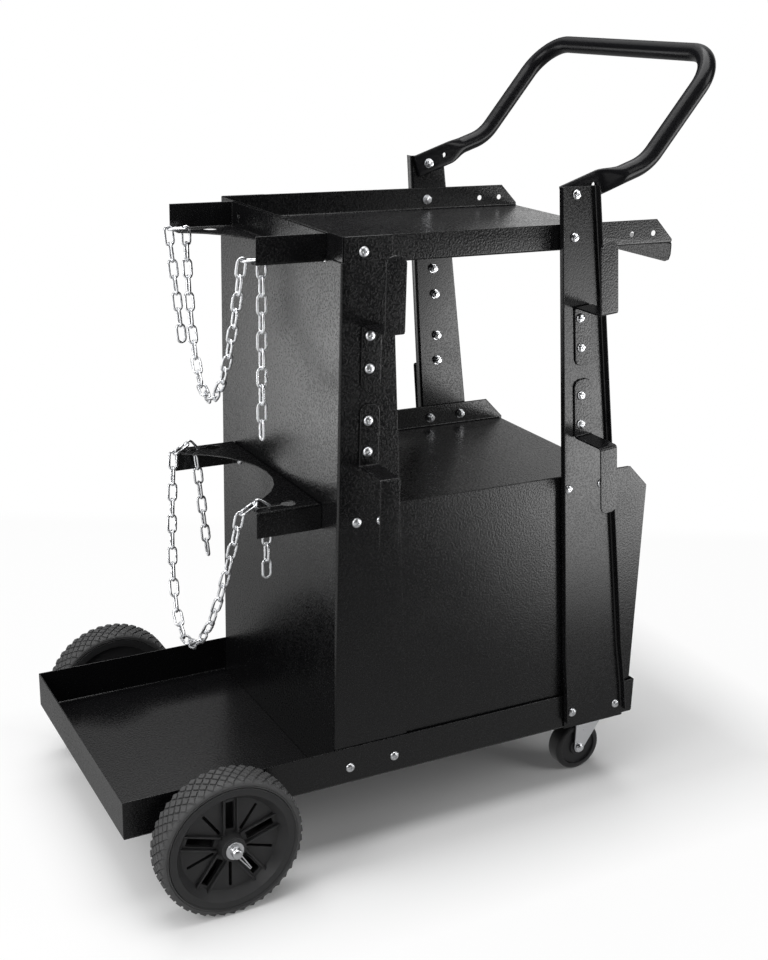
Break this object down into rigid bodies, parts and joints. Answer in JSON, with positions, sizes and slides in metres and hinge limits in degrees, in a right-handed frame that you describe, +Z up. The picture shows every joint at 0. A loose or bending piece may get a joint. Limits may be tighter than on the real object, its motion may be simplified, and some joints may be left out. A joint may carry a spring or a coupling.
{
  "type": "welding cart",
  "caption": "Black folded-steel welding cart with a cylinder platform, cabinet, shelves, cable hooks, chains, push handle, wheels and swivel casters.",
  "frame": {"origin": "on the ground, under the middle of the cart's overall box", "axes": "+Z up, +X from the cylinder platform towards the handle, +Y towards the cart's right-hand side"},
  "size_m": [0.779, 0.4958, 0.9791],
  "materials": {
    "black_powder_coat": "finely textured satin",
    "gloss_black_tube": "gloss",
    "zinc_plate": "bright zinc",
    "tyre_rubber": "matt",
    "hub_plastic": "satin",
    "caster_plastic": "satin"
  },
  "bodies": {
    "frame": {"base_tray": "black_powder_coat", "back_panel": "black_powder_coat", "lower_shelf": "black_powder_coat", "top_shelf": "black_powder_coat", "upper_cylinder_bracket": "black_powder_coat", "lower_cylinder_bracket": "black_powder_coat", "left_side_panel": "black_powder_coat", "left_front_post": "black_powder_coat", "left_axle_bracket": "black_powder_coat", "right_side_panel": "black_powder_coat", "right_front_post": "black_powder_coat", "right_axle_bracket": "black_powder_coat", "left_rear_upper_hook": "black_powder_coat", "left_rear_lower_hook": "black_powder_coat", "left_front_upper_hook": "black_powder_coat", "left_front_lower_hook": "black_powder_coat", "right_rear_upper_hook": "black_powder_coat", "right_rear_lower_hook": "black_powder_coat", "right_front_upper_hook": "black_powder_coat", "right_front_lower_hook": "black_powder_coat", "handle": "gloss_black_tube", "axle": "zinc_plate", "left_axle_washer": "zinc_plate", "left_axle_spacer": "zinc_plate", "left_split_pin": "zinc_plate", "left_caster_plate": "zinc_plate", "left_caster_kingpin": "zinc_plate", "right_axle_washer": "zinc_plate", "right_axle_spacer": "zinc_plate", "right_split_pin": "zinc_plate", "right_caster_plate": "zinc_plate", "right_caster_kingpin": "zinc_plate", "upper_left_anchor_links": "zinc_plate", "upper_right_anchor_links": "zinc_plate", "lower_left_anchor_links": "zinc_plate", "lower_right_anchor_links": "zinc_plate"},
    "left_wheel": {"left_tyre": "tyre_rubber", "left_wheel_hub": "hub_plastic"},
    "right_wheel": {"right_tyre": "tyre_rubber", "right_wheel_hub": "hub_plastic"},
    "left_caster": {"left_caster_fork": "zinc_plate", "left_caster_axle": "zinc_plate"},
    "left_caster_roller": {"left_caster_wheel": "caster_plastic"},
    "right_caster": {"right_caster_fork": "zinc_plate", "right_caster_axle": "zinc_plate"},
    "right_caster_roller": {"right_caster_wheel": "caster_plastic"},
    "upper_loop": {"upper_chain_loop": "zinc_plate"},
    "lower_loop": {"lower_chain_loop": "zinc_plate"},
    "upper_left_end": {"upper_left_chain_end": "zinc_plate"},
    "upper_right_end": {"upper_right_chain_end": "zinc_plate"},
    "lower_left_end": {"lower_left_chain_end": "zinc_plate"},
    "lower_right_end": {"lower_right_chain_end": "zinc_plate"}
  },
  "joints": [
    {"name": "left_wheel_roll", "type": "hinge", "parent": "frame", "child": "left_wheel", "pos_m": [-0.27648, -0.2146, 0.0889], "axis": [0, 1, 0], "continuous": true},
    {"name": "right_wheel_roll", "type": "hinge", "parent": "frame", "child": "right_wheel", "pos_m": [-0.27648, 0.2146, 0.0889], "axis": [0, 1, 0], "continuous": true},
    {"name": "left_caster_swivel", "type": "hinge", "parent": "frame", "child": "left_caster", "pos_m": [0.29752, -0.124, 0.0987], "axis": [0, 0, 1], "continuous": true},
    {"name": "left_caster_roll", "type": "hinge", "parent": "left_caster", "child": "left_caster_roller", "pos_m": [0.28252, -0.124, 0.035], "axis": [0, 1, 0], "continuous": true},
    {"name": "right_caster_swivel", "type": "hinge", "parent": "frame", "child": "right_caster", "pos_m": [0.29752, 0.124, 0.0987], "axis": [0, 0, 1], "continuous": true},
    {"name": "right_caster_roll", "type": "hinge", "parent": "right_caster", "child": "right_caster_roller", "pos_m": [0.28252, 0.124, 0.035], "axis": [0, 1, 0], "continuous": true},
    {"name": "upper_loop_swing", "type": "hinge", "parent": "frame", "child": "upper_loop", "pos_m": [-0.21348, -0.119, 0.7471], "axis": [0.1012, 0.9911, -0.0862], "range_deg": [-15, 1]},
    {"name": "lower_loop_swing", "type": "hinge", "parent": "frame", "child": "lower_loop", "pos_m": [-0.21748, -0.119, 0.45389], "axis": [0.021, 0.9997, 0.0121], "range_deg": [-10, 30]},
    {"name": "upper_left_end_swing", "type": "hinge", "parent": "frame", "child": "upper_left_end", "pos_m": [-0.19018, -0.119, 0.7264], "axis": [1, 0, 0], "range_deg": [-25, 10]},
    {"name": "upper_right_end_swing", "type": "hinge", "parent": "frame", "child": "upper_right_end", "pos_m": [-0.21248, 0.119, 0.7471], "axis": [0, 1, 0], "range_deg": [-1, 35]},
    {"name": "lower_left_end_swing", "type": "hinge", "parent": "frame", "child": "lower_left_end", "pos_m": [-0.18457, -0.119, 0.45147], "axis": [1, 0, 0], "range_deg": [-20, 10]},
    {"name": "lower_right_end_swing", "type": "hinge", "parent": "frame", "child": "lower_right_end", "pos_m": [-0.18231, 0.119, 0.45136], "axis": [1, 0, 0], "range_deg": [-10, 20]}
  ]
}
